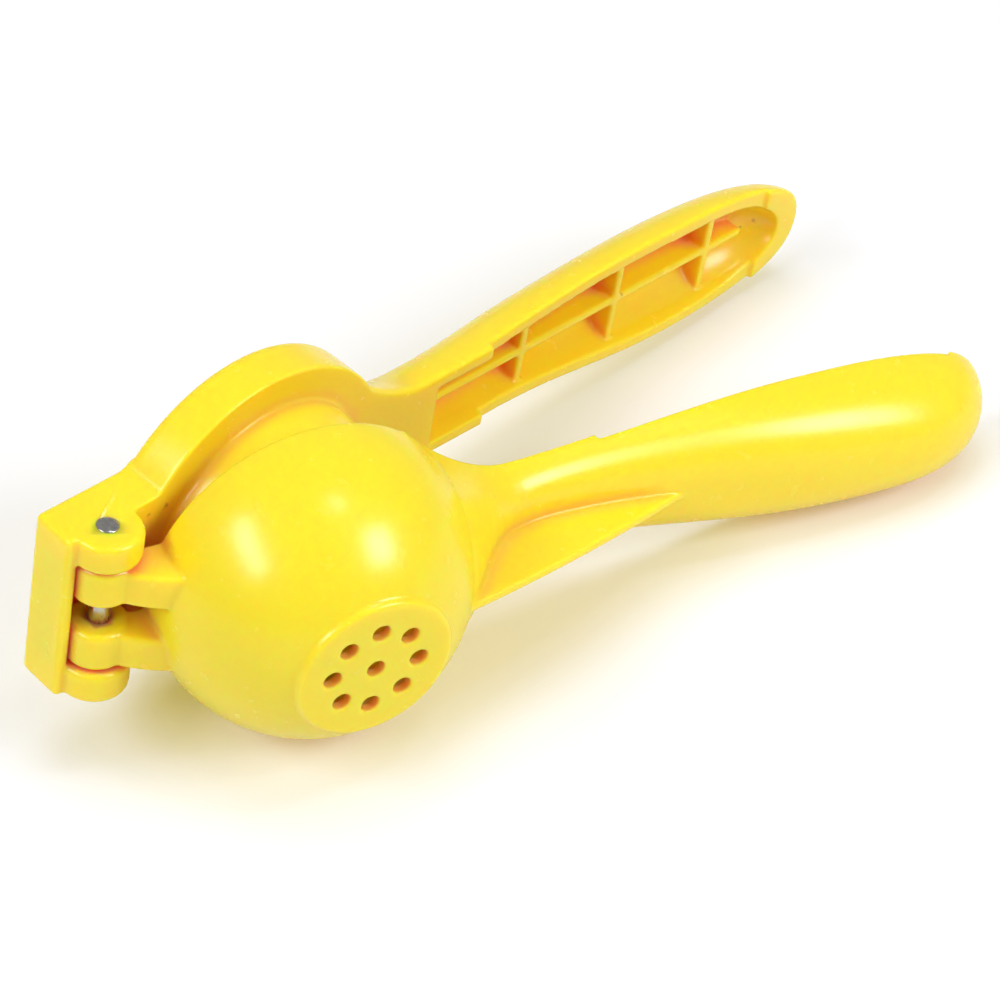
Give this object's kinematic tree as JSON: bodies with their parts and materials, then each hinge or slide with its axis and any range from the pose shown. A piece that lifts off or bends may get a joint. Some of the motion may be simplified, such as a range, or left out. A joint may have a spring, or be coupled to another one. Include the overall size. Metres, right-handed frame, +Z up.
{
  "type": "hinged lemon squeezer",
  "caption": "Two-arm hinged citrus press with a perforated half-bowl, a pressing dome, a pin hinge and ribbed channel handles.",
  "frame": {"origin": "on the table, under the middle of the box round the tool as it lies on its side with the arms part open", "axes": "+Z up from the table; +X along the bowl arm from the hinge to the handle end; +Y to the side where the press arm stands"},
  "size_m": [0.2362, 0.1147, 0.0761],
  "materials": {
    "arm_plastic": "glossy moulded lemon-yellow plastic",
    "pin_steel": "plain steel with a dull polish"
  },
  "bodies": {
    "bowl_arm": {"bowl_arm": "arm_plastic"},
    "press_arm": {"press_arm": "arm_plastic", "hinge_pin": "pin_steel"}
  },
  "joints": [
    {"name": "hinge", "type": "hinge", "parent": "bowl_arm", "child": "press_arm", "pos_m": [-0.10258, -0.01806, 0.04294], "axis": [0.1342, -0.0424, 0.99], "range_deg": [-17.3, 87.7]}
  ]
}
